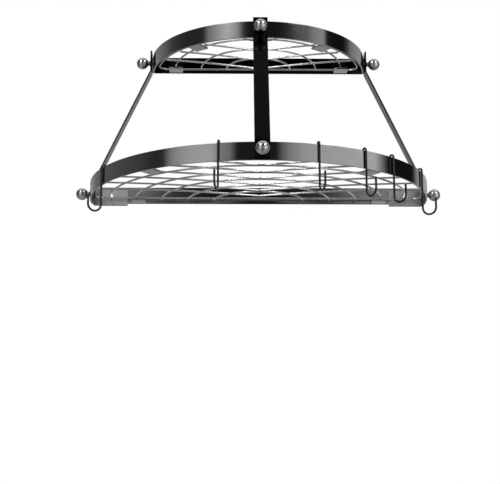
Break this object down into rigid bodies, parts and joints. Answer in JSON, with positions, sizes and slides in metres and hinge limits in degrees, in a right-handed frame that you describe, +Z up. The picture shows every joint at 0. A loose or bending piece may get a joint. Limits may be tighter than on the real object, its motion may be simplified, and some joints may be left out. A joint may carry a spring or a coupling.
{
  "type": "wall pot rack",
  "caption": "Two half-round flat-bar shelves, one above the other, that hang on wall screws, with loose wire grids, ball finials and sliding pan hooks.",
  "frame": {"origin": "on the wall plane, midway between the round parts of the two lower keyholes", "axes": "+X along the wall to the viewer's right, +Y into the wall, +Z up"},
  "size_m": [0.6622, 0.334, 0.3353],
  "materials": {
    "dark_bar": "dark, brushed along its length, lacquered glossy",
    "black_bar": "near black, glossy",
    "wall_bar": "dark, brushed along its length, satin",
    "tab_bar": "dark, satin",
    "grid_wire": "dark drawn wire, glossy",
    "hook_wire": "dark drawn wire, glossy",
    "ball_chrome": "polished",
    "screw_steel": "plain steel"
  },
  "bodies": {
    "rack": {"upper_rail": "black_bar", "upper_band": "dark_bar", "lower_rail": "wall_bar", "lower_band": "dark_bar", "wall_plate_left": "wall_bar", "wall_plate_right": "wall_bar", "upper_tab_rear_left": "tab_bar", "upper_tab_rear_right": "tab_bar", "upper_tab_front_left": "tab_bar", "upper_tab_front_right": "tab_bar", "lower_tab_rear_left": "tab_bar", "lower_tab_rear_right": "tab_bar", "lower_tab_front_left": "tab_bar", "lower_tab_front_right": "tab_bar", "front_strap": "black_bar", "side_strap_left": "dark_bar", "side_strap_right": "dark_bar", "strap_screws": "screw_steel", "finial_upper_front": "ball_chrome", "finial_upper_left": "ball_chrome", "finial_upper_right": "ball_chrome", "finial_lower_front": "ball_chrome", "finial_lower_left": "ball_chrome", "finial_lower_right": "ball_chrome"},
    "upper_grid": {"upper_grid": "grid_wire"},
    "lower_grid": {"lower_grid": "grid_wire"},
    "hook_1": {"hook_1": "hook_wire"},
    "hook_2": {"hook_2": "hook_wire"},
    "hook_3": {"hook_3": "hook_wire"},
    "hook_4": {"hook_4": "hook_wire"},
    "hook_5": {"hook_5": "hook_wire"},
    "hook_6": {"hook_6": "hook_wire"}
  },
  "joints": [
    {"name": "upper_grid_lift", "type": "slide", "parent": "rack", "child": "upper_grid", "axis": [0, 0, 1], "range_m": [0, 0.06]},
    {"name": "lower_grid_lift", "type": "slide", "parent": "rack", "child": "lower_grid", "axis": [0, 0, 1], "range_m": [0, 0.02]},
    {"name": "hook_1_slide", "type": "hinge", "parent": "rack", "child": "hook_1", "pos_m": [0, 0, 0], "axis": [0, 0, 1], "range_deg": [-23, 23]},
    {"name": "hook_2_slide", "type": "hinge", "parent": "rack", "child": "hook_2", "pos_m": [0, 0, 0], "axis": [0, 0, 1], "range_deg": [-23, 10]},
    {"name": "hook_3_slide", "type": "hinge", "parent": "rack", "child": "hook_3", "pos_m": [0, 0, 0], "axis": [0, 0, 1], "range_deg": [-14, 7]},
    {"name": "hook_4_slide", "type": "hinge", "parent": "rack", "child": "hook_4", "pos_m": [0, 0, 0], "axis": [0, 0, 1], "range_deg": [-7, 5]},
    {"name": "hook_5_slide", "type": "hinge", "parent": "rack", "child": "hook_5", "pos_m": [0, 0, 0], "axis": [0, 0, 1], "range_deg": [-5, 9]},
    {"name": "hook_6_slide", "type": "hinge", "parent": "rack", "child": "hook_6", "pos_m": [0, 0, 0], "axis": [0, 0, 1], "range_deg": [-9, 19]}
  ]
}
